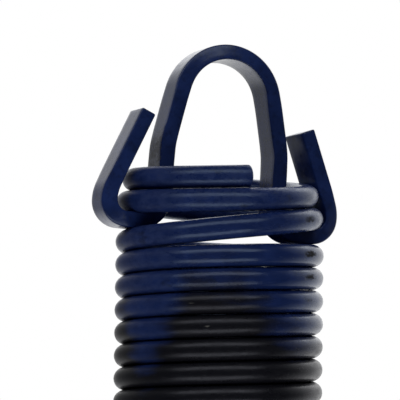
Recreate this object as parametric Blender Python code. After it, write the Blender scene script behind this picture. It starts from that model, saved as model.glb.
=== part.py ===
"""A close-wound extension spring with a clip at each end.

One round wire is wound into a right-handed coil whose turns touch. Each end carries a clip: one length of
flat bar, bent into an arch that stands over the end of the coil. The arch's legs go down inside the coil,
pass out through gaps between its turns and hook back up outside as two arms.

Metres, +Z up. The coil's axis is Z and both clips lie in the XZ plane. The origin is on the axis, level with
the face inside the upper arch that bears on whatever the spring hangs from. Each end's frame has that face at
its origin and the coil below it; the lower end is the upper one turned half a turn about Y.
"""

import math

import bpy
from mathutils import Vector

# The coil. Turns are counted from the upper cut end down, and the wire's lower half is its upper half
# turned about Y.
WIRE_DIAMETER = 0.00488
COIL_RADIUS = 0.0200  # from the coil's axis to the wire's centre
PITCH = 0.00489  # from one turn to the next, so that the turns just touch
TURNS = 50
END_ANGLE = math.radians(270)  # both cut ends of the wire are at the front, at -Y
END_DEPTH = 0.02486  # from the bearing face down to the wire's centre at its cut end
WIRE_SIDES = 8
POINTS_PER_TURN = 12
FLAT_TO_FLAT = WIRE_DIAMETER - 0.00028  # of the eight-sided wire, which has flats above and below

# What holding a clip does to the last turns, as an amount and the turns over which it fades out
SLOT_RISE = 0.00368  # the turns beyond the clip's feet stand this much further off
SLOT_TURNS = (1.85, 2.19)
END_TAPER = 0.00185  # the last turn winds in by this much
TAPER_TURNS = (0.0, 1.82)
END_SIDESTEP = 0.00083  # the last turns sit this far to the left, towards -X at the upper end
SIDESTEP_TURNS = (1.6, 2.2)
END_LEAN = math.radians(4.28)  # the last turns lean over
LEAN_TURNS = (1.3, 2.39)
LEAN_ANGLE = math.radians(261.6)  # where round the coil they are lowest

# The flat bar of a clip
BAR_THICKNESS = 0.0031
BAR_WIDTH = 0.0079
BAR_EDGE = 0.0004  # the rounding of its edges

# A clip's bends from the middle of its crown outwards, each radius to the bar's centreline
CROWN_RADIUS = 0.01059
CROWN_STEPS = 12  # on each half of the crown
LEG_FLARE = math.radians(11.7)  # how far the upper legs lean out from upright
LEG_LENGTH = 0.01186  # the leaning straight
KNEE_RADIUS = 0.0126  # where a leg turns upright
HEEL_RADIUS = 0.0054  # from the leg into the stretch that passes between the turns
CLIP_DEPTH = 0.03658  # from the bearing face to the centreline of that stretch
TOE_RADIUS = 0.0041  # from that stretch up into the arm
ARM_REACH = 0.02538  # from the clip's middle to the furthest point of the centreline
ELBOW_RADIUS = 0.0084  # where the arm leans back in
LEFT_ARM_LEAN = math.radians(23.0)
RIGHT_ARM_LEAN = math.radians(22.0)
LEFT_ARM_LENGTH = 0.01755  # the leaning straight
RIGHT_ARM_LENGTH = 0.01676

# How a clip stands on its coil. It leans over by half of one of the crown's facets, so that the facet
# next to the crown's middle is level, and that facet is the bearing face.
CLIP_SHIFT = 0.0002  # towards +X at the upper end
CLIP_TILT = (math.pi / 2 - LEG_FLARE) / CROWN_STEPS / 2
BEARING_HEIGHT = (CROWN_RADIUS - BAR_THICKNESS / 2) * math.cos(CLIP_TILT)  # above the crown's centre

SPRING_LENGTH = 2 * END_DEPTH + PITCH * TURNS + 2 * SLOT_RISE  # between the two bearing faces


def clear_scene():
    for thing in list(bpy.data.objects):
        bpy.data.objects.remove(thing)


def painted_metal(name, colour, roughness, metallic):
    material = bpy.data.materials.new(name)
    material.use_nodes = True
    shader = material.node_tree.nodes["Principled BSDF"]
    shader.inputs["Base Color"].default_value = (*colour, 1.0)
    shader.inputs["Roughness"].default_value = roughness
    shader.inputs["Metallic"].default_value = metallic
    return material


def fading(turn, span):
    """From 1 before the span of turns to 0 after it, smoothly."""
    start, end = span
    x = min(max((turn - start) / (end - start), 0.0), 1.0)
    return 1 - x * x * (3 - 2 * x)


def wire_centre(turn):
    """The wire's centre, this many turns down from its upper cut end."""
    if turn > TURNS / 2:
        mirror = wire_centre(TURNS - turn)
        return Vector((-mirror.x, mirror.y, -SPRING_LENGTH - mirror.z))
    angle = END_ANGLE - 2 * math.pi * turn
    radius = COIL_RADIUS - END_TAPER * fading(turn, TAPER_TURNS)
    x = radius * math.cos(angle) - END_SIDESTEP * fading(turn, SIDESTEP_TURNS)
    y = radius * math.sin(angle)
    down = x * math.cos(LEAN_ANGLE) + y * math.sin(LEAN_ANGLE)
    lean = math.tan(END_LEAN) * down * fading(turn, LEAN_TURNS)
    slot = SLOT_RISE * (1 - fading(turn, SLOT_TURNS))
    return Vector((x, y, -END_DEPTH - PITCH * turn - slot - lean))


def make_coil(material):
    curve = bpy.data.curves.new("coil", "CURVE")
    curve.dimensions = "3D"
    curve.twist_mode = "Z_UP"
    curve.bevel_depth = FLAT_TO_FLAT / 2 / math.cos(math.pi / WIRE_SIDES)
    curve.bevel_resolution = WIRE_SIDES // 2 - 2
    curve.use_fill_caps = True
    count = POINTS_PER_TURN * TURNS + 1
    spline = curve.splines.new("POLY")
    spline.points.add(count - 1)
    for i, point in enumerate(spline.points):
        point.co = (*wire_centre(i / POINTS_PER_TURN), 1.0)
        point.tilt = math.pi / WIRE_SIDES
    curve.materials.append(material)
    return bpy.data.objects.new("coil", curve)


class Bar:
    """The centreline of half a clip, drawn like a pen that goes straight or turns, anticlockwise if positive."""

    def __init__(self, start):
        self.place = Vector(start)
        self.heading = 0.0
        self.stations = [(self.place.copy(), self.heading)]

    def ahead(self, length, angle=0.0):
        direction = self.heading + angle
        self.place += length * Vector((math.cos(direction), math.sin(direction)))

    def straight(self, length):
        self.ahead(length)
        self.stations.append((self.place.copy(), self.heading))

    def bend(self, radius, turn, steps):
        step = turn / steps
        chord = 2 * radius * abs(math.sin(step / 2))
        for _ in range(steps):
            self.ahead(chord, step / 2)
            self.heading += step
            self.stations.append((self.place.copy(), self.heading))


def half_clip(arm_lean, arm_length):
    """From the middle of the crown to an arm's tip, around the crown's centre at (0, 0)."""
    run_height = BEARING_HEIGHT - CLIP_DEPTH
    bar = Bar((0.0, CROWN_RADIUS))
    bar.bend(CROWN_RADIUS, LEG_FLARE - math.pi / 2, CROWN_STEPS)
    bar.straight(LEG_LENGTH)
    bar.bend(KNEE_RADIUS, -LEG_FLARE, 2)
    bar.straight(bar.place.y - run_height - HEEL_RADIUS)
    bar.bend(HEEL_RADIUS, math.pi / 2, 6)
    bar.straight(ARM_REACH - TOE_RADIUS - bar.place.x)
    bar.bend(TOE_RADIUS, math.pi / 2, 6)
    bar.bend(ELBOW_RADIUS, arm_lean, 3)
    bar.straight(arm_length)
    return bar.stations


def clip_outline():
    """The bar's two sides, offset from its centreline, as one closed outline."""
    right = half_clip(RIGHT_ARM_LEAN, RIGHT_ARM_LENGTH)
    left = half_clip(LEFT_ARM_LEAN, LEFT_ARM_LENGTH)
    left = [(Vector((-place.x, place.y)), -heading) for place, heading in reversed(left)]
    centreline = left + right[1:]
    side = BAR_THICKNESS / 2
    across = [side * Vector((-math.sin(heading), math.cos(heading))) for _, heading in centreline]
    outer = [place + offset for (place, _), offset in zip(centreline, across)]
    inner = [place - offset for (place, _), offset in zip(centreline, across)]
    return outer + inner[::-1]


def make_clip_shape(material):
    curve = bpy.data.curves.new("clip", "CURVE")
    curve.dimensions = "2D"
    curve.fill_mode = "BOTH"
    curve.extrude = BAR_WIDTH / 2 - BAR_EDGE
    curve.bevel_depth = BAR_EDGE
    curve.bevel_resolution = 1
    curve.offset = -BAR_EDGE
    outline = clip_outline()
    spline = curve.splines.new("POLY")
    spline.points.add(len(outline) - 1)
    for point, place in zip(spline.points, outline):
        point.co = (*place, 0.0, 1.0)
    spline.use_cyclic_u = True
    curve.materials.append(material)
    return curve


def make_end(name, depth, turned):
    """An empty on the coil's axis at an end's bearing face, turned about Y."""
    end = bpy.data.objects.new(name, None)
    end.empty_display_size = COIL_RADIUS / 2
    end.location.z = -depth
    end.rotation_euler.y = turned
    return end


def make_clip(name, shape, end):
    clip = bpy.data.objects.new(name, shape)
    clip.location = (CLIP_SHIFT, 0.0, -BEARING_HEIGHT)
    clip.rotation_euler = (math.pi / 2, CLIP_TILT, 0.0)
    clip.parent = end
    return clip


def main():
    clear_scene()
    wire_paint = painted_metal("wire_paint", (0.010, 0.013, 0.028), 0.38, 0.0)
    clip_paint = painted_metal("clip_paint", (0.012, 0.022, 0.085), 0.38, 0.0)
    upper_end = make_end("upper_end", 0.0, 0.0)
    lower_end = make_end("lower_end", SPRING_LENGTH, math.pi)
    coil = make_coil(wire_paint)
    coil.parent = upper_end
    shape = make_clip_shape(clip_paint)
    upper_clip = make_clip("upper_clip", shape, upper_end)
    lower_clip = make_clip("lower_clip", shape, lower_end)

    spring = bpy.data.collections.new("clip_end_spring")
    bpy.context.scene.collection.children.link(spring)
    for thing in (upper_end, lower_end, coil, upper_clip, lower_clip):
        spring.objects.link(thing)


main()
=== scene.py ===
"""Looks for the clip-end extension spring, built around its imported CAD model.

Metres, +Z up, in the CAD model's own frame: the coil's axis is Z, both clips lie in the XZ plane, and
the origin is level with the face inside the upper arch. The lower end is the upper one turned half a
turn about Y. The coil and both clips are rebuilt here as fine surfaces, on centrelines within a
millimetre of the CAD model's.
"""

import math

import bpy
import numpy as np
from mathutils import Matrix, Vector


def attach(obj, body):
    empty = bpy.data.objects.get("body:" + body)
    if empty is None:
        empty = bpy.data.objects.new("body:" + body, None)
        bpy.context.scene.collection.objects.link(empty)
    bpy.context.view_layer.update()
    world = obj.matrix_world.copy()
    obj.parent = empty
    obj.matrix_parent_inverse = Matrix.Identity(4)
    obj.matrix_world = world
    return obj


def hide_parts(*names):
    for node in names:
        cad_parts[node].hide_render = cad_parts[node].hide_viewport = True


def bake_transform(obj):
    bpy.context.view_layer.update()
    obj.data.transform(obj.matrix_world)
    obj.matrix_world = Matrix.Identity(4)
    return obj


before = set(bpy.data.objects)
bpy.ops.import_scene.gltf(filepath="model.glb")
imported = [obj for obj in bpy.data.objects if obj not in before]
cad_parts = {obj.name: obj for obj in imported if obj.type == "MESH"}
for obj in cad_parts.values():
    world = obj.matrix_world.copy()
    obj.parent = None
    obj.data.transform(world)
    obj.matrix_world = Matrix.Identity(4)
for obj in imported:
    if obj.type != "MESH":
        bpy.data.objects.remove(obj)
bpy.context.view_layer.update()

# ---------------------------------------------------------------- the coil
# Turns are counted from the upper cut end down, and the wire's lower half is its upper half turned
# about Y. What holding a clip does to the last turns is an amount and the turns over which it fades.
SPRING_LENGTH = 0.30158  # between the two bearing faces
WIRE_RADIUS = 0.00244
COIL_RADIUS = 0.02002  # from the coil's axis to the wire's centre
TURNS = 50
END_ANGLE = math.radians(270)  # both cut ends of the wire are at the front, at -Y
END_DEPTH = 0.02482  # from the bearing face down to the wire's centre at its cut end
SLOT_RISE = 0.00339  # the turns beyond the clip's feet stand this much further off
SLOT_TURNS = (1.72, 2.22)
END_TAPER = 0.00168  # the last turn winds in by this much
TAPER_TURNS = (0.0, 1.79)
END_SIDESTEP = 0.0003  # the last turns sit this far to the left, towards -X at the upper end
SIDESTEP_TURNS = (1.6, 2.2)
END_LEAN = math.radians(4.4)  # the last turns lean over
LEAN_TURNS = (1.3, 1.8)
LEAN_ANGLE = math.radians(261.1)  # where round the coil they are lowest
PITCH = (SPRING_LENGTH - 2 * END_DEPTH - 2 * SLOT_RISE) / TURNS

STEPS_PER_TURN = 80
WIRE_SIDES = 24
CUT_ROUNDING = 0.0006  # the radius on the edges of the wire's cut faces
CUT_STEPS = 5  # how many stations round off the end of a wire or bar
SHARP_ANGLE = math.radians(50)  # edges sharper than this aren't shaded smooth

# ---------------------------------------------------------------- marks on the coil
# Angles round the coil are in degrees, and turns are counted from the nearer end.
# How many turns the blue dip reaches down, by the angle round the coil
DIP_EDGE = (
    (0, 6.0), (40, 5.2), (90, 6.2), (130, 5.6), (165, 5.1), (184, 4.9), (196, 6.8), (204, 7.6),
    (210, 7.2), (232, 3.7), (246, 3.5), (260, 3.6), (272, 4.6), (284, 5.8), (302, 6.2), (330, 6.2),
)
# Where the coil has rubbed against something: the angle, and the turns between which it has
RUBS = ((309, 1.4, 6.6), (44, 10, 13), (152, 20, 25))
RUB_REACH = 8  # degrees either side of that angle
RUB_WIDTH = 0.14  # across the wire, as the square of an angle round it in radians
RUB_OFFSET = 0.1  # from the wire's outermost line, as an angle round it
RUB_EVEN = 0.72  # how hard the turns are rubbed on average
RUB_UNEVEN = 0.28  # how much harder or softer single turns are
RUB_WAVE = 1.1  # how that changes from turn to turn, in radians a turn
RUB_HARDEST = 3  # a turn that is rubbed hardest
# Where the paint is chipped to pale grey metal, as the angle and the turns; the first two also paint
# small glints, painted highlights
CHIPS_AND_GLINTS = (
    (241.6, 6.08), (236, 5.09), (252, 9.05), (100, 4.5), (88, 12.5),
    (20, 7.7), (130, 18.4), (300, 14.9), (215, 21.2),
)
CHIP_REACH = 6  # degrees either side
CHIP_WIDTH = 0.05  # across the wire, as for a rub
MATT_SIDE = 192  # where the paint has dried matt
MATT_REACH = 26  # degrees either side, as for the painted sheen
SHEEN_SIDE = 206  # where the last turns are painted a paler blue, a painted sheen
SHEEN_REACH = 20
SHEEN_TURNS = (1.5, 9.0)  # the turns over which that fades out
ALL_ROUND_SHEEN_TURNS = (1.6, 2.3)  # the last turns have the painted sheen all round, and this fades out sooner
ALL_ROUND_SHEEN = 0.5  # how strong the painted sheen is there, where the sheen's side is 1

# ---------------------------------------------------------------- a clip
# Its bends run from the middle of its crown outwards, each radius to the bar's centreline.
BAR_THICKNESS = 0.00328
BAR_WIDTH = 0.0081
BAR_EDGE = 0.00036  # the rounding of its edges and cut faces
EDGE_STEPS = 4  # in the rounding of an edge
THICKNESS_STEPS = 3
WIDTH_STEPS = 6
CROWN_RADIUS = 0.01058
LEG_FLARE = math.radians(11.8)  # how far the upper legs lean out from upright
LEG_LENGTH = 0.01186  # the leaning straight
KNEE_RADIUS = 0.0126  # where a leg turns upright
HEEL_RADIUS = 0.0050  # from the leg into the stretch that passes between the turns
CLIP_DEPTH = 0.03642  # from the bearing face to the centreline of that stretch
TOE_RADIUS = 0.0040  # from that stretch up into the arm
ARM_REACH = 0.02539  # from the clip's middle to the furthest point of the centreline
ELBOW_RADIUS = 0.0084  # where the arm leans back in
LEFT_ARM = (math.radians(23.0), 0.01755)  # its lean and the length of its leaning straight
RIGHT_ARM = (math.radians(22.0), 0.01676)
CLIP_TILT = math.radians(3.2625)  # the clip leans over in its own plane
CLIP_SHIFT = 0.00018  # towards +X at the upper end
BEARING_HEIGHT = (CROWN_RADIUS - BAR_THICKNESS / 2) * math.cos(CLIP_TILT)  # above the crown's centre
STRAIGHT_STEP = 0.0010  # between stations along a straight
BEND_STEP = math.radians(3)  # and round a bend
ARM_TWIST = math.radians(6)  # the arm at +X is twisted a little out of the clip's plane
BULGE = 1.0  # how much the bar spreads in width inside a bend and narrows outside it
BULGE_LIMIT = 3  # how soon the bulge levels off in tight bends
SPREAD = 0.002  # how far along the bar a bend's effect on it reaches
# Where a clip is grimy: down which leg, how far along the bar from the middle of the crown, how far
# that reaches, and on which face, 1 for the arch's outside
GRIMY_PLACES = ((-1, 0.0290, 0.0075, 1), (1, 0.0350, 0.0045, -1))

# ---------------------------------------------------------------- the paints
NAVY = (0.0122, 0.0290, 0.134, 1)
DEEP_NAVY = (0.0080, 0.0165, 0.0650, 1)  # where a clip's paint is thick
PALE_NAVY = (0.0185, 0.0410, 0.178, 1)  # where the blue is thin
BLACK = (0.0085, 0.0088, 0.0130, 1)
GREY = (0.055, 0.055, 0.060, 1)  # specks
WORN = (0.0080, 0.0085, 0.0100, 1)  # rubs and soot
GRIME = (0.0430, 0.0395, 0.0320, 1)
BARE_AND_GLINT = (0.16, 0.16, 0.15, 1)  # the metal in a chip, which also paints a glint
# a paler blue that paints a broad sheen on the last turns: a painted highlight
PAINTED_SHEEN_BLUE = (0.0340, 0.0570, 0.190, 1)
# The tint of the highlights
BLACK_SHEEN = (0.85, 0.87, 1, 1)
BLUE_SHEEN = (0.60, 0.78, 1, 1)
CLIP_SHEEN = (0.75, 0.86, 1, 1)
# Roughness, from where a paint is glossiest to where it is dullest
BLUE_ROUGHNESS = (0.15, 0.28)
BLACK_ROUGHNESS = (0.26, 0.40)
CLIP_ROUGHNESS = (0.16, 0.28)
DULLNESS = (0.3, 0.75)  # the values of a noise between which a paint goes from glossy to dull
MATT_ROUGHNESS = 0.45
SHEEN_PATCH_ROUGHNESS = 0.42
WORN_ROUGHNESS = 0.65
GRIMY_ROUGHNESS = 0.45
BLUE_SPECULAR = 0.55
BLACK_SPECULAR = 0.35
CLIP_SPECULAR = 0.5
MATT_SPECULAR = 0.12
GRIMY_SPECULAR = 0.27
RAGGEDNESS = 3.4  # how many turns up and down the noise moves the dip's edge
DIP_FADE = (-1.6, 1.0)  # how far inside the dip, in turns, the blue begins and is full
SHEEN_PATCH_DULLING = 1.6  # how much sooner the painted sheen's patch dulls the gloss than it shows as colour
RELIEF = 0.0001  # how deep the bumps in the paints are

# ---------------------------------------------------------------- the view and the light
VIEW_AZIMUTH = math.radians(-21)  # the camera stands this far round from the front, to the left
VIEW_DISTANCE = 0.650  # from the coil's axis
VIEW_HEIGHT = -0.07534
AIM_HEIGHT = -0.03019
AIM_LEFT = 0.00435  # the camera looks this far to the left of the axis
VIEW_ROLL = math.radians(0.75)
LENS = 271.55  # in millimetres, as the sensor's width is
SENSOR_WIDTH = 36
NEAREST_SEEN = 0.01
FURTHEST_SEEN = 50
LIGHT_AIM = (0, 0, -0.05)  # where the softboxes face
FLOOR_HEIGHT = -1.0
FLOOR_RADIUS = 6
FLOOR_SIDES = 96
FLOOR_COLOUR = (0.86, 0.86, 0.87, 1)
FLOOR_GLOW = (0.66, 1.0)  # how bright the floor is below the spring and towards its edge
FLOOR_FADE = (0.5, 5.5)  # how far from its middle it begins to brighten and is brightest


# ================================================================ shapes
def fading(place, span):
    """From 1 before a span to 0 after it, smoothly."""
    start, end = span
    x = np.clip((place - start) / (end - start), 0.0, 1.0)
    return 1 - x * x * (3 - 2 * x)


def unit(vectors):
    return vectors / np.linalg.norm(vectors, axis=1, keepdims=True)


def distances(places):
    """How far along a line each of its points is."""
    steps = np.linalg.norm(np.diff(places, axis=0), axis=1)
    return np.concatenate([[0], np.cumsum(steps)])


def rounded_off(places, tangents, rounding, skip=1):
    """A bar's stations with rounded ends, and how far in its outline is drawn at each.

    The rounding's stations take the place of the first and the last few, as many as skip says.
    """
    sweep = np.linspace(math.pi / 2, 0, CUT_STEPS)
    inset = rounding * (1 - np.cos(sweep))
    back = rounding * (1 - np.sin(sweep))
    first = places[0] + back[:, None] * tangents[0]
    last = places[-1] - back[::-1, None] * tangents[-1]
    places = np.concatenate([first, places[skip:-skip], last])
    drawn_in = np.zeros(len(places))
    drawn_in[:CUT_STEPS] = inset
    drawn_in[-CUT_STEPS:] = inset[::-1]
    return places, drawn_in


def held(values, skip=1):
    """Values at a bar's stations, the end ones repeated through its rounded ends."""
    first = np.repeat(values[:1], CUT_STEPS, 0)
    last = np.repeat(values[-1:], CUT_STEPS, 0)
    return np.concatenate([first, values[skip:-skip], last])


def swept_mesh(name, rings):
    """A closed tube through rings of points, with a flat face over each end."""
    count, sides = rings.shape[:2]
    base = np.arange(count - 1)[:, None] * sides
    this = np.arange(sides)[None, :]
    following = (this + 1) % sides
    corners = [base + this, base + following, base + sides + following, base + sides + this]
    faces = [tuple(face) for face in np.stack(corners, 2).reshape(-1, 4).tolist()]
    faces.append(tuple(range(sides))[::-1])
    faces.append(tuple(range((count - 1) * sides, count * sides)))
    mesh = bpy.data.meshes.new(name)
    mesh.from_pydata(rings.reshape(-1, 3).tolist(), [], faces)
    mesh.update()
    mesh.shade_smooth()
    mesh.set_sharp_from_angle(angle=SHARP_ANGLE)
    thing = bpy.data.objects.new(name, mesh)
    bpy.context.scene.collection.objects.link(thing)
    return thing


def store(thing, name, values):
    """Put a number or a vector for every point on a mesh, for its paint to read."""
    values = np.asarray(values, np.float32)
    kind, field = ("FLOAT", "value") if values.ndim == 1 else ("FLOAT_VECTOR", "vector")
    thing.data.attributes.new(name, kind, "POINT").data.foreach_set(field, values.ravel())


# ---------------------------------------------------------------- the wire
def upper_wire(turn):
    """The centre of the wire's upper half, this many turns down."""
    angle = END_ANGLE - 2 * math.pi * turn
    radius = COIL_RADIUS - END_TAPER * fading(turn, TAPER_TURNS)
    x = radius * np.cos(angle) - END_SIDESTEP * fading(turn, SIDESTEP_TURNS)
    y = radius * np.sin(angle)
    down = x * math.cos(LEAN_ANGLE) + y * math.sin(LEAN_ANGLE)
    lean = math.tan(END_LEAN) * down * fading(turn, LEAN_TURNS)
    slot = SLOT_RISE * (1 - fading(turn, SLOT_TURNS))
    return np.stack([x, y, -END_DEPTH - PITCH * turn - slot - lean], 1)


def wire_centres(turns):
    """The wire's centre at each of these turns, counted down from its upper cut end."""
    upper = upper_wire(turns)
    lower = upper_wire(TURNS - turns) * (-1, 1, -1) - (0, 0, SPRING_LENGTH)
    return np.where((turns <= TURNS / 2)[:, None], upper, lower)


def make_wire():
    """The wire, and how many turns down each of its points is."""
    turns = np.linspace(0, TURNS, STEPS_PER_TURN * TURNS + 1)
    centres = wire_centres(turns)
    tangents = unit(np.gradient(centres, axis=0))
    centres, drawn_in = rounded_off(centres, tangents, CUT_ROUNDING, skip=2)
    tangents = held(tangents, skip=2)
    turns = held(turns, skip=2)
    radii = WIRE_RADIUS - drawn_in
    inwards = unit(np.cross(tangents, (0, 0, 1.0)))
    upward = np.cross(inwards, tangents)
    around = np.arange(WIRE_SIDES) * 2 * math.pi / WIRE_SIDES
    cosines = np.cos(around)[None, :, None]
    sines = np.sin(around)[None, :, None]
    spokes = cosines * inwards[:, None] + sines * upward[:, None]
    rings = centres[:, None] + radii[:, None, None] * spokes
    wire = swept_mesh("spring_wire", rings)
    straightened = np.empty(rings.shape)
    straightened[..., 0] = distances(centres)[:, None]
    straightened[..., 1:2] = WIRE_RADIUS * cosines
    straightened[..., 2:3] = WIRE_RADIUS * sines
    store(wire, "along", straightened.reshape(-1, 3))
    store(wire, "place", rings.reshape(-1, 3))
    store(wire, "blue", dipped(turns, rings).ravel())
    store(wire, "rub", rubbed(turns, around).ravel())
    store(wire, "chip_and_glint", near_chip_and_glint(turns, around).ravel())
    store(wire, "matt", np.repeat(matt(turns), WIRE_SIDES))
    store(wire, "sheen_patch", np.repeat(painted_sheen(turns), WIRE_SIDES))
    return wire, np.repeat(turns, WIRE_SIDES)


def turns_from_end(turns):
    return np.minimum(turns, TURNS - turns)


def degrees_off(ends, where):
    """How far round the coil, up to 180 degrees either way, the wire is from an angle at these turns."""
    return (np.degrees(END_ANGLE) - 360 * ends - where + 180) % 360 - 180


def dipped(turns, rings):
    """How far inside the dipped stretch of the coil a point on the wire is, in turns."""
    ends = turns_from_end(turns)
    angle = np.degrees(END_ANGLE) - 360 * ends
    where, reach = np.array(DIP_EDGE).T
    limit = np.interp(angle, where, reach, period=360)
    middle = rings.mean(1, keepdims=True)[..., 2]
    inwards = np.where(turns < TURNS / 2, 1, -1)[:, None] * (middle - rings[..., 2])
    return (limit - ends)[:, None] - inwards / PITCH


def rubbed(turns, around):
    """How hard a point on the wire has been rubbed, up to 1, which differs from turn to turn."""
    outside = np.exp(-((around + RUB_OFFSET) % (2 * math.pi) - math.pi) ** 2 / RUB_WIDTH)
    ends = turns_from_end(turns)
    uneven = RUB_EVEN + RUB_UNEVEN * np.cos(RUB_WAVE * (np.round(ends) - RUB_HARDEST))
    hard = np.zeros(len(turns))
    for where, first, last in RUBS:
        near = np.exp(-(degrees_off(ends, where) / RUB_REACH) ** 2)
        hard += uneven * near * ((ends > first) & (ends < last))
    return hard[:, None] * outside


def near_chip_and_glint(turns, around):
    """How near a point on the wire is to a chip in its paint, from 0 to 1; some chips are painted
    glints.
    """
    outside = np.exp(-(around - math.pi) ** 2 / CHIP_WIDTH)
    ends = turns_from_end(turns)
    near = np.zeros(len(turns))
    for where, at in CHIPS_AND_GLINTS:
        same_turn = np.abs(ends - at) < 0.5
        near += np.exp(-(degrees_off(ends, where) / CHIP_REACH) ** 2) * same_turn
    return near[:, None] * outside


def matt(turns):
    """How far the paint has dried matt, from 0 to 1, which it has down one side of the coil."""
    return np.exp(-(degrees_off(turns_from_end(turns), MATT_SIDE) / MATT_REACH) ** 4)


def painted_sheen(turns):
    """How pale and dull the paint is, from 0 to 1, its paleness a painted sheen: on the last turns, and
    most on one side of them.
    """
    ends = turns_from_end(turns)
    near = np.exp(-(degrees_off(ends, SHEEN_SIDE) / SHEEN_REACH) ** 2)
    one_side = near * fading(ends, SHEEN_TURNS)
    return np.maximum(one_side, ALL_ROUND_SHEEN * fading(ends, ALL_ROUND_SHEEN_TURNS))


# ---------------------------------------------------------------- the clips
class Bar:
    """The centreline of half a clip in its own plane, drawn like a pen that turns left if positive.

    A station is a place, the heading there and the curvature of the bend or straight it ends.
    """

    def __init__(self, start):
        self.place = np.array(start)
        self.heading = 0.0
        self.curve = 0.0
        self.stations = [(*self.place, self.heading, 0.0)]

    def step(self, length, turn):
        direction = self.heading + turn / 2
        self.place = self.place + length * np.array((math.cos(direction), math.sin(direction)))
        self.heading += turn
        self.stations.append((*self.place, self.heading, self.curve))

    def straight(self, length):
        self.curve = 0.0
        count = max(1, round(length / STRAIGHT_STEP))
        for _ in range(count):
            self.step(length / count, 0.0)

    def bend(self, radius, turn):
        count = math.ceil(abs(turn) / BEND_STEP)
        self.curve = math.copysign(1 / radius, turn)
        for _ in range(count):
            self.step(2 * radius * math.sin(abs(turn) / count / 2), turn / count)


def half_clip(arm_lean, arm_length):
    """The stations from the middle of the crown to an arm's tip, and where among them the toe begins."""
    run_height = BEARING_HEIGHT - CLIP_DEPTH
    bar = Bar((0.0, CROWN_RADIUS))
    bar.bend(CROWN_RADIUS, LEG_FLARE - math.pi / 2)
    bar.straight(LEG_LENGTH)
    bar.bend(KNEE_RADIUS, -LEG_FLARE)
    bar.straight(bar.place[1] - run_height - HEEL_RADIUS)
    bar.bend(HEEL_RADIUS, math.pi / 2)
    bar.straight(ARM_REACH - TOE_RADIUS - bar.place[0])
    toe = len(bar.stations)
    bar.bend(TOE_RADIUS, math.pi / 2)
    bar.bend(ELBOW_RADIUS, arm_lean)
    bar.straight(arm_length)
    return np.array(bar.stations), toe


def bar_section():
    """A bar's outline, as four numbers for each point.

    The first two are its place, through the bar's thickness and across its width, on the outline drawn
    in by BAR_EDGE. The other two are the direction in which the rounding's radius is added to that.
    """
    half_t = BAR_THICKNESS / 2 - BAR_EDGE
    half_w = BAR_WIDTH / 2 - BAR_EDGE
    outline = []
    corners = [(1, 1), (-1, 1), (-1, -1), (1, -1)]
    for quarter, (side_t, side_w) in enumerate(corners):
        for i in range(EDGE_STEPS + 1):
            a = (quarter + i / EDGE_STEPS) * math.pi / 2
            outline.append((side_t * half_t, side_w * half_w, math.cos(a), math.sin(a)))
        next_t, next_w = corners[(quarter + 1) % 4]
        count = THICKNESS_STEPS if quarter in (0, 2) else WIDTH_STEPS
        a = (quarter + 1) * math.pi / 2
        for i in range(1, count):
            t = half_t * (side_t + (next_t - side_t) * (i / count))
            w = half_w * (side_w + (next_w - side_w) * (i / count))
            outline.append((t, w, math.cos(a), math.sin(a)))
    return np.array(outline)


def softened(curve, along):
    """A bar's curvature, spread along it and levelling off in tight bends."""
    near = np.exp(-((along[:, None] - along[None, :]) / SPREAD) ** 2) * np.gradient(along)
    curve = near @ curve / near.sum(1)
    return curve / (1 + np.abs(curve) * SPREAD * BULGE_LIMIT)


def grimy(from_crown, thick):
    """How grimy a point on a clip is, up to 1."""
    amount = np.zeros(thick.shape)
    for leg, distance, reach, face in GRIMY_PLACES:
        near = np.exp(-((leg * from_crown - distance) / reach) ** 2)
        # 1 on that face, and 0 from halfway to the middle of the bar's thickness
        on_face = np.clip(4 * face * thick / BAR_THICKNESS - 1, 0, 1)
        amount += near[:, None] * on_face
    return amount


def make_clip(name):
    """A clip in the upper end's frame, its bearing face at the origin."""
    right, toe = half_clip(*RIGHT_ARM)
    left = half_clip(*LEFT_ARM)[0][:0:-1] * (-1, 1, -1, 1)
    x, z, heading, curve = np.concatenate([left, right]).T
    flat = np.zeros(len(x))
    places = np.stack([x, flat, z], 1)
    tangents = np.stack([np.cos(heading), flat, np.sin(heading)], 1)
    along = distances(np.stack([x, z], 1))
    twist_from = along[len(left) + toe]
    twist_to = along[-1] - RIGHT_ARM[1]
    twist = held(ARM_TWIST * (1 - fading(along, (twist_from, twist_to))))
    curve = held(softened(curve, along))
    places, drawn_in = rounded_off(places, tangents, BAR_EDGE)
    tangents = held(tangents)
    along = distances(places)
    outward = np.stack([-tangents[:, 2], np.zeros(len(places)), tangents[:, 0]], 1)
    sideways = np.tile((0.0, -1.0, 0.0), (len(places), 1))
    c = np.cos(twist)[:, None]
    s = np.sin(twist)[:, None]
    outward, sideways = c * outward + s * sideways, c * sideways - s * outward
    section = bar_section()
    radius = BAR_EDGE - drawn_in[:, None]
    thick = section[None, :, 0] + section[None, :, 2] * radius
    wide = section[None, :, 1] + section[None, :, 3] * radius
    wide = wide * (1 + BULGE * thick * curve[:, None])
    offsets = thick[..., None] * outward[:, None] + wide[..., None] * sideways[:, None]
    clip = swept_mesh(name, places[:, None] + offsets)
    straightened = np.stack([np.repeat(along[:, None], len(section), 1), thick, wide], 2)
    store(clip, "along", straightened.reshape(-1, 3))
    crown = len(left) + CUT_STEPS - 1
    store(clip, "grime", grimy(along - along[crown], thick).ravel())
    standing = Matrix.Translation((CLIP_SHIFT, 0, -BEARING_HEIGHT))
    clip.data.transform(standing @ Matrix.Rotation(CLIP_TILT, 4, "Y"))
    return clip


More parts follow.
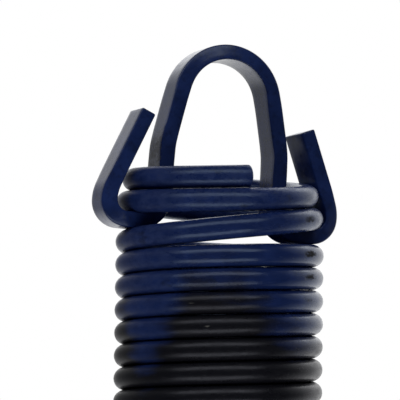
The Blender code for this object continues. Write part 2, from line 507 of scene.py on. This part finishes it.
# ================================================================ materials
class Nodes:
    """Short names for the nodes that the paints and the surroundings are made of."""

    def __init__(self, tree):
        self.tree = tree

    def put(self, socket, value):
        if isinstance(value, bpy.types.NodeSocket):
            self.tree.links.new(value, socket)
        else:
            socket.default_value = value

    def math(self, operation, a, b=0.0):
        node = self.tree.nodes.new("ShaderNodeMath")
        node.operation = operation
        self.put(node.inputs[0], a)
        self.put(node.inputs[1], b)
        return node.outputs[0]

    def vector(self, operation, a, b=(0, 0, 0), output="Vector"):
        node = self.tree.nodes.new("ShaderNodeVectorMath")
        node.operation = operation
        self.put(node.inputs[0], a)
        self.put(node.inputs[1], b)
        return node.outputs[output]

    def between(self, value, low, high, to_low=0.0, to_high=1.0):
        """Smoothly from one number at a low value to another at a high one."""
        node = self.tree.nodes.new("ShaderNodeMapRange")
        node.interpolation_type = "SMOOTHSTEP"
        node.inputs["From Min"].default_value = low
        node.inputs["From Max"].default_value = high
        node.inputs["To Min"].default_value = to_low
        node.inputs["To Max"].default_value = to_high
        self.put(node.inputs["Value"], value)
        return node.outputs["Result"]


class Shader(Nodes):
    """A new material and its nodes."""

    def __init__(self, name):
        self.material = bpy.data.materials.new(name)
        self.material.use_nodes = True
        super().__init__(self.material.node_tree)
        self.surface = self.tree.nodes["Principled BSDF"]

    def shade(self, name, value):
        self.put(self.surface.inputs[name], value)

    def attribute(self, name, output="Vector"):
        node = self.tree.nodes.new("ShaderNodeAttribute")
        node.attribute_name = name
        return node.outputs[output]

    def drawn_out(self, along, squeeze):
        """A place along a wire or bar, squeezed lengthwise, so that a noise there is drawn out."""
        return self.vector("MULTIPLY", along, (squeeze, 1, 1))

    def noise(self, vector, per_metre, detail, roughness=0.5):
        node = self.tree.nodes.new("ShaderNodeTexNoise")
        node.inputs["Scale"].default_value = per_metre
        node.inputs["Detail"].default_value = detail
        node.inputs["Roughness"].default_value = roughness
        self.put(node.inputs["Vector"], vector)
        return node.outputs["Fac"]

    def mix(self, factor, a, b):
        """A colour between two."""
        node = self.tree.nodes.new("ShaderNodeMix")
        node.data_type = "RGBA"
        self.put(node.inputs[0], factor)
        self.put(node.inputs[6], a)
        self.put(node.inputs[7], b)
        return node.outputs[2]

    def mix_value(self, factor, a, b):
        """A number between two."""
        node = self.tree.nodes.new("ShaderNodeMix")
        self.put(node.inputs[0], factor)
        self.put(node.inputs[2], a)
        self.put(node.inputs[3], b)
        return node.outputs[0]

    def bump(self, height, strength, normal=None):
        """The surface's direction with bumps in it, over other bumps if there are any."""
        node = self.tree.nodes.new("ShaderNodeBump")
        node.inputs["Strength"].default_value = strength
        node.inputs["Distance"].default_value = RELIEF
        self.put(node.inputs["Height"], height)
        if normal is not None:
            self.put(node.inputs["Normal"], normal)
        return node.outputs["Normal"]


def wire_paint():
    """Black paint, blue inside the dip, with its soot, painted sheen, specks, chips (some of them
    painted glints) and rubs.
    """
    s = Shader("wire_paint")
    along = s.attribute("along")
    place = s.attribute("place")
    dip = s.attribute("blue", "Fac")
    streaks = s.noise(s.drawn_out(along, 0.25), 420, 3)
    edge = s.math("MULTIPLY", s.math("SUBTRACT", streaks, 0.5), RAGGEDNESS)
    is_blue = s.between(s.math("ADD", dip, edge), *DIP_FADE)
    thin = s.noise(place, 190, 3)
    blue = s.mix(s.between(thin, 0.42, 0.72), NAVY, PALE_NAVY)
    uneven = s.noise(s.drawn_out(along, 0.6), 1000, 5, 0.65)
    # The last turns are paler, most on their left side: a painted sheen, mottled by a noise
    sheen_patch = s.math("MULTIPLY", s.attribute("sheen_patch", "Fac"), s.between(uneven, 0.32, 0.66))
    colour = s.mix(is_blue, BLACK, s.mix(sheen_patch, blue, PAINTED_SHEEN_BLUE))
    blotches = s.noise(s.drawn_out(along, 0.6), 330, 4, 0.6)
    soot = s.between(blotches, 0.60, 0.72, to_high=0.45)
    colour = s.mix(soot, colour, WORN)
    specks = s.noise(along, 2600, 2)
    colour = s.mix(s.between(specks, 0.68, 0.76, to_high=0.4), colour, GREY)
    # Chips show pale grey metal; the first two of them are painted glints as well
    scratch = s.noise(s.drawn_out(along, 0.12), 2600, 3, 0.6)
    bare_and_glint = s.between(s.math("MULTIPLY", s.attribute("chip_and_glint", "Fac"), scratch), 0.36, 0.44)
    colour = s.mix(bare_and_glint, colour, BARE_AND_GLINT)
    grit = s.noise(along, 1700, 4, 0.65)
    worn = s.between(s.math("MULTIPLY", s.attribute("rub", "Fac"), grit), 0.16, 0.40)
    s.shade("Base Color", s.mix(worn, colour, WORN))

    dull = s.noise(s.drawn_out(along, 0.4), 900, 4, 0.6)
    blue_rough = s.between(dull, *DULLNESS, *BLUE_ROUGHNESS)
    black_rough = s.between(dull, *DULLNESS, *BLACK_ROUGHNESS)
    is_matt = s.attribute("matt", "Fac")
    rough = s.mix_value(is_blue, black_rough, blue_rough)
    rough = s.mix_value(is_matt, rough, MATT_ROUGHNESS)
    # Soot and the painted sheen's patch make the paint duller
    is_soot_and_sheen_patch = s.math("MAXIMUM", soot, s.math("MULTIPLY", sheen_patch, SHEEN_PATCH_DULLING))
    rough = s.mix_value(is_soot_and_sheen_patch, rough, SHEEN_PATCH_ROUGHNESS)
    s.shade("Roughness", s.mix_value(worn, rough, WORN_ROUGHNESS))
    is_dull = s.math("MAXIMUM", worn, is_matt)
    specular = s.mix_value(is_blue, BLACK_SPECULAR, BLUE_SPECULAR)
    s.shade("Specular IOR Level", s.mix_value(is_dull, specular, MATT_SPECULAR))
    s.shade("Specular Tint", s.mix(is_blue, BLACK_SHEEN, BLUE_SHEEN))

    drawn = s.noise(s.drawn_out(along, 0.06), 2200, 3)
    peel = s.noise(along, 1500, 3)
    pits = s.between(s.noise(along, 1900, 2), 0.64, 0.72, to_low=1, to_high=0)
    relief = s.bump(pits, 0.25, s.bump(drawn, 0.10))
    s.shade("Normal", s.bump(peel, 0.18, relief))
    return s.material


def clip_paint():
    """Blue paint, mottled where it is thick, with grey specks and grime."""
    s = Shader("clip_paint")
    along = s.attribute("along")
    thin = s.noise(along, 160, 3)
    blue = s.mix(s.between(thin, 0.40, 0.72), NAVY, PALE_NAVY)
    specks = s.noise(along, 2200, 2)
    thick = s.between(s.noise(along, 520, 5, 0.7), 0.46, 0.66, to_high=0.6)
    is_grey = s.between(specks, 0.70, 0.78, to_high=0.3)
    colour = s.mix(is_grey, s.mix(thick, blue, DEEP_NAVY), GREY)
    grit = s.noise(along, 1100, 5, 0.7)
    patchy = s.math("MULTIPLY", s.attribute("grime", "Fac"), grit)
    dirt = s.between(patchy, 0.34, 0.58, to_high=0.75)
    s.shade("Base Color", s.mix(dirt, colour, GRIME))

    dull = s.noise(along, 700, 4, 0.6)
    rough = s.between(dull, *DULLNESS, *CLIP_ROUGHNESS)
    s.shade("Roughness", s.mix_value(dirt, rough, GRIMY_ROUGHNESS))
    s.shade("Specular IOR Level", s.mix_value(dirt, CLIP_SPECULAR, GRIMY_SPECULAR))
    s.shade("Specular Tint", CLIP_SHEEN)

    peel = s.noise(along, 1300, 3)
    rolled = s.noise(s.drawn_out(along, 0.1), 1500, 2)
    s.shade("Normal", s.bump(peel, 0.16, s.bump(rolled, 0.05)))
    return s.material


# ================================================================ the spring
wire, wire_turns = make_wire()
wire.data.materials.append(wire_paint())
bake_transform(wire)
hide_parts("coil")

paint = clip_paint()
turned = Matrix.Translation((0, 0, -SPRING_LENGTH)) @ Matrix.Rotation(math.pi, 4, "Y")
for end, placement in (("upper", Matrix.Identity(4)), ("lower", turned)):
    clip = make_clip(end + "_hanger")
    clip.data.transform(placement)
    clip.data.materials.append(paint)
    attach(clip, end + "_end")
    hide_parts(end + "_clip")


# ================================================================ light, floor and camera
def direction(azimuth, elevation=0):
    """A unit vector, by degrees to the right of the camera, as it sees the room, and upwards."""
    a = VIEW_AZIMUTH + math.radians(azimuth)
    e = math.radians(elevation)
    return Vector((math.sin(a) * math.cos(e), -math.cos(a) * math.cos(e), math.sin(e)))


def softbox(name, azimuth, elevation, distance, width, height, energy):
    light = bpy.data.lights.new(name, "AREA")
    light.shape = "RECTANGLE"
    light.size = width
    light.size_y = height
    light.energy = energy
    box = bpy.data.objects.new(name, light)
    towards = direction(azimuth, elevation)
    box.location = Vector(LIGHT_AIM) + towards * distance
    box.rotation_euler = towards.to_track_quat("Z", "Y").to_euler()
    bpy.context.scene.collection.objects.link(box)


class Studio(Nodes):
    """The studio's surroundings, as brightness by direction."""

    def __init__(self):
        self.world = bpy.data.worlds.new("studio")
        self.world.use_nodes = True
        super().__init__(self.world.node_tree)
        self.tree.nodes.clear()
        self.towards = self.tree.nodes.new("ShaderNodeTexCoord").outputs["Generated"]

    def along(self, axis):
        """How squarely a ray heads along an axis, from -1 to 1."""
        return self.vector("DOT_PRODUCT", self.towards, axis, "Value")

    def background(self, strength):
        node = self.tree.nodes.new("ShaderNodeBackground")
        node.inputs["Color"].default_value = (1, 1, 1, 1)
        self.put(node.inputs["Strength"], strength)
        return node.outputs[0]


def make_world():
    """White for the camera. What the spring gets is strongest from behind, as the camera sees it."""
    w = Studio()
    height = w.along((0, 0, 1))
    steepness = w.math("MULTIPLY", height, height)
    # The walls behind, darker near the horizon on the left
    walls = w.between(w.along(-direction(-9)), 0.20, 0.95, 0.04, 0.84)
    back_left = w.between(w.along(direction(-100)), 0.0, 0.80)
    shadow = w.math("MULTIPLY", back_left, w.between(steepness, 0.02, 0.13, 0.70, 0.0))
    walls = w.math("SUBTRACT", walls, w.math("MULTIPLY", walls, shadow))
    # A dim patch behind on the left, a little way up
    dusk = w.between(w.along(direction(-142, 22)), 0.955, 0.985, 1.0, 0.66)
    # Light from behind whose edges show along the spring's two sides
    left = w.between(w.along(direction(-178)), 0.0, 0.5, to_high=0.10)
    far_left = w.between(w.along(direction(-162)), 0.0, 0.05, to_high=0.05)
    right = w.between(w.along(direction(176)), 0.0, 0.05, to_high=0.22)
    off_level = w.between(steepness, 0.01, 0.10, 0.25, 1.0)
    sides = w.math("ADD", w.math("ADD", left, far_left), w.math("MULTIPLY", right, off_level))
    glow = w.math("MULTIPLY", w.math("ADD", walls, sides), dusk)
    # A bright patch behind, a little way up, and less light from overhead
    behind = w.between(w.along(direction(-172, 20)), 0.93, 0.99, to_high=0.35)
    glow = w.math("ADD", glow, behind)
    roof = w.between(height, 0.95, 0.55, 0.12, 1.0)
    path = w.tree.nodes.new("ShaderNodeLightPath")
    mix = w.tree.nodes.new("ShaderNodeMixShader")
    w.put(mix.inputs[0], path.outputs["Is Camera Ray"])
    w.put(mix.inputs[1], w.background(w.math("MULTIPLY", glow, roof)))
    w.put(mix.inputs[2], w.background(1.0))
    output = w.tree.nodes.new("ShaderNodeOutputWorld")
    w.put(output.inputs["Surface"], mix.outputs[0])
    bpy.context.scene.world = w.world


def make_floor():
    """A pale floor that the spring hangs over, brighter towards its edge, and that doesn't light it."""
    bpy.ops.mesh.primitive_circle_add(
        vertices=FLOOR_SIDES, radius=FLOOR_RADIUS, fill_type="NGON", location=(0, 0, FLOOR_HEIGHT))
    floor = bpy.context.object
    floor.name = "floor"
    s = Shader("floor_paper")
    s.shade("Base Color", FLOOR_COLOUR)
    s.shade("Roughness", 0.9)
    s.shade("Emission Color", (1, 1, 1, 1))
    outwards = s.tree.nodes.new("ShaderNodeTexCoord").outputs["Object"]
    radius = s.vector("LENGTH", outwards, output="Value")
    s.shade("Emission Strength", s.between(radius, *FLOOR_FADE, *FLOOR_GLOW))
    floor.data.materials.append(s.material)
    floor.visible_glossy = False
    floor.visible_diffuse = False


def make_camera():
    data = bpy.data.cameras.new("camera")
    data.lens = LENS
    data.sensor_width = SENSOR_WIDTH
    data.clip_start = NEAREST_SEEN
    data.clip_end = FURTHEST_SEEN
    camera = bpy.data.objects.new("camera", data)
    camera.location = direction(0) * VIEW_DISTANCE + Vector((0, 0, VIEW_HEIGHT))
    aim = Vector((0, 0, AIM_HEIGHT)) - AIM_LEFT * direction(90)
    look = (aim - camera.location).to_track_quat("-Z", "Y").to_matrix().to_4x4()
    roll = Matrix.Rotation(VIEW_ROLL, 4, "Z")
    camera.matrix_world = Matrix.Translation(camera.location) @ look @ roll
    bpy.context.scene.collection.objects.link(camera)
    bpy.context.scene.camera = camera


bpy.context.scene.view_settings.view_transform = "Standard"
make_world()
make_floor()
make_camera()
softbox("upper_strip", azimuth=-4, elevation=53, distance=0.8, width=1.3, height=0.42, energy=2.5)
softbox("lower_strip", azimuth=-2, elevation=-52, distance=0.42, width=0.62, height=0.22, energy=0.64)
softbox("back_strip", azimuth=180, elevation=50, distance=0.8, width=1.3, height=0.42, energy=1.3)
